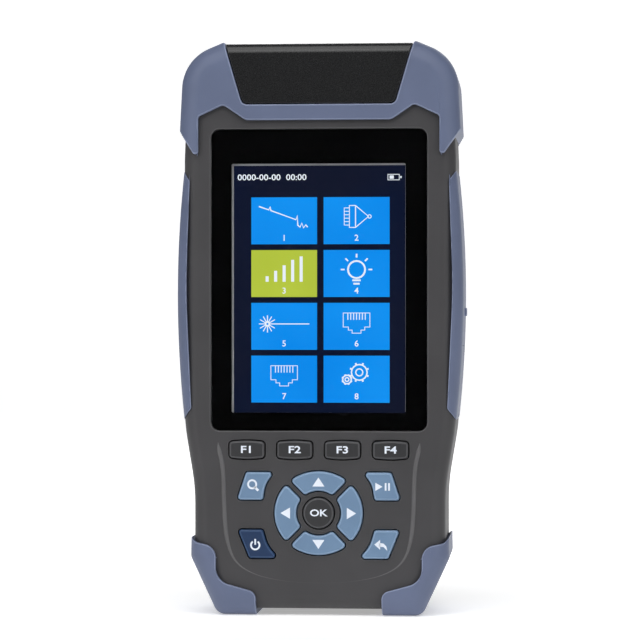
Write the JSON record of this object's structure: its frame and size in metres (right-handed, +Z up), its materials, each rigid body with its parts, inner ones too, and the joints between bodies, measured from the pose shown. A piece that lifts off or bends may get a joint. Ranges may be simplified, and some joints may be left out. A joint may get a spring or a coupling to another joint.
{
  "type": "optical time domain reflectometer",
  "caption": "Handheld optical time domain reflectometer with rubber bumpers, screen, keypad, hinged dust cover over the optical ports, folding stand and side port flaps.",
  "frame": {"origin": "middle of the underside of the foot bumpers, where it stands", "axes": "+Z up along the case, screen faces -Y, +X to the viewer's right"},
  "size_m": [0.0854, 0.042, 0.1678],
  "materials": {
    "rubber_blue": "satin moulded rubber",
    "shell_grey": "fine textured moulding",
    "cover_black": "satin moulding",
    "key_dark": "smooth silicone",
    "key_blue": "smooth silicone",
    "key_navy": "smooth silicone",
    "lens": "clear gloss window, black printed border",
    "display": "lit colour display",
    "inner_black": "moulded inner parts",
    "silicone": "keypad mat",
    "circuit_board": "glass fibre board",
    "battery_wrap": "shrink wrap",
    "engine_grey": "cast housing",
    "port_green": "adapter for angled connectors",
    "port_metal": "nickel plated",
    "steel": "turned steel",
    "foam": "closed cell foam"
  },
  "bodies": {
    "case": {"front_shell": "shell_grey", "rear_shell": "shell_grey", "shell_gasket": "inner_black", "top_bumper_front": "rubber_blue", "top_bumper_rear": "rubber_blue", "foot_bumper_front_left": "rubber_blue", "foot_bumper_front_right": "rubber_blue", "foot_bumper_rear_left": "rubber_blue", "foot_bumper_rear_right": "rubber_blue", "grip_front_left": "rubber_blue", "grip_front_right": "rubber_blue", "grip_rear_left": "rubber_blue", "grip_rear_right": "rubber_blue", "display_lens": "lens", "lcd_module": "display", "lcd_frame": "inner_black", "keypad_mat": "silicone", "dome_switches": "steel", "key_board": "circuit_board", "main_board": "circuit_board", "battery_pack": "battery_wrap", "optical_engine": "engine_grey", "port_plate": "inner_black", "otdr_adapter": "port_green", "power_meter_port": "port_metal", "fault_locator_port": "port_metal", "network_jack_lower": "inner_black", "network_jack_upper": "inner_black", "usb_socket": "steel", "card_socket": "steel", "case_screws": "steel", "cover_hinge_pin": "steel", "stand_hinge_pin": "steel"},
    "cover": {"dust_cover": "cover_black", "cover_pad": "foam"},
    "stand": {"kickstand": "shell_grey"},
    "flap_left": {"side_flap_left": "rubber_blue"},
    "flap_right": {"side_flap_right": "rubber_blue"},
    "key_f1_body": {"key_f1": "key_dark"},
    "key_f2_body": {"key_f2": "key_dark"},
    "key_f3_body": {"key_f3": "key_dark"},
    "key_f4_body": {"key_f4": "key_dark"},
    "key_zoom_body": {"key_zoom": "key_blue"},
    "key_play_body": {"key_play": "key_blue"},
    "key_back_body": {"key_back": "key_blue"},
    "key_power_body": {"key_power": "key_navy"},
    "key_up_body": {"key_up": "key_blue"},
    "key_down_body": {"key_down": "key_blue"},
    "key_left_body": {"key_left": "key_blue"},
    "key_right_body": {"key_right": "key_blue"},
    "key_ok_body": {"key_ok": "key_dark"}
  },
  "joints": [
    {"name": "dust_cover_hinge", "type": "hinge", "parent": "case", "child": "cover", "pos_m": [0, 0.017, 0.1626], "axis": [-1, 0, 0], "range_deg": [0, 105]},
    {"name": "stand_hinge", "type": "hinge", "parent": "case", "child": "stand", "pos_m": [0, 0.0184, 0.1109], "axis": [1, 0, 0], "range_deg": [0, 55]},
    {"name": "flap_left_hinge", "type": "hinge", "parent": "case", "child": "flap_left", "pos_m": [-0.04125, 0, 0.117], "axis": [0, 1, 0], "range_deg": [0, 100]},
    {"name": "flap_right_hinge", "type": "hinge", "parent": "case", "child": "flap_right", "pos_m": [0.04125, 0, 0.117], "axis": [0, -1, 0], "range_deg": [0, 100]},
    {"name": "key_f1_press", "type": "slide", "parent": "case", "child": "key_f1_body", "axis": [0, 1, 0], "range_m": [0, 0.0008], "stiffness_N_per_m": 200},
    {"name": "key_f2_press", "type": "slide", "parent": "case", "child": "key_f2_body", "axis": [0, 1, 0], "range_m": [0, 0.0008], "stiffness_N_per_m": 200},
    {"name": "key_f3_press", "type": "slide", "parent": "case", "child": "key_f3_body", "axis": [0, 1, 0], "range_m": [0, 0.0008], "stiffness_N_per_m": 200},
    {"name": "key_f4_press", "type": "slide", "parent": "case", "child": "key_f4_body", "axis": [0, 1, 0], "range_m": [0, 0.0008], "stiffness_N_per_m": 200},
    {"name": "key_zoom_press", "type": "slide", "parent": "case", "child": "key_zoom_body", "axis": [0, 1, 0], "range_m": [0, 0.0008], "stiffness_N_per_m": 200},
    {"name": "key_play_press", "type": "slide", "parent": "case", "child": "key_play_body", "axis": [0, 1, 0], "range_m": [0, 0.0008], "stiffness_N_per_m": 200},
    {"name": "key_back_press", "type": "slide", "parent": "case", "child": "key_back_body", "axis": [0, 1, 0], "range_m": [0, 0.0008], "stiffness_N_per_m": 200},
    {"name": "key_power_press", "type": "slide", "parent": "case", "child": "key_power_body", "axis": [0, 1, 0], "range_m": [0, 0.0008], "stiffness_N_per_m": 200},
    {"name": "key_up_press", "type": "slide", "parent": "case", "child": "key_up_body", "axis": [0, 1, 0], "range_m": [0, 0.0008], "stiffness_N_per_m": 200},
    {"name": "key_down_press", "type": "slide", "parent": "case", "child": "key_down_body", "axis": [0, 1, 0], "range_m": [0, 0.0008], "stiffness_N_per_m": 200},
    {"name": "key_left_press", "type": "slide", "parent": "case", "child": "key_left_body", "axis": [0, 1, 0], "range_m": [0, 0.0008], "stiffness_N_per_m": 200},
    {"name": "key_right_press", "type": "slide", "parent": "case", "child": "key_right_body", "axis": [0, 1, 0], "range_m": [0, 0.0008], "stiffness_N_per_m": 200},
    {"name": "key_ok_press", "type": "slide", "parent": "case", "child": "key_ok_body", "axis": [0, 1, 0], "range_m": [0, 0.0008], "stiffness_N_per_m": 200}
  ]
}
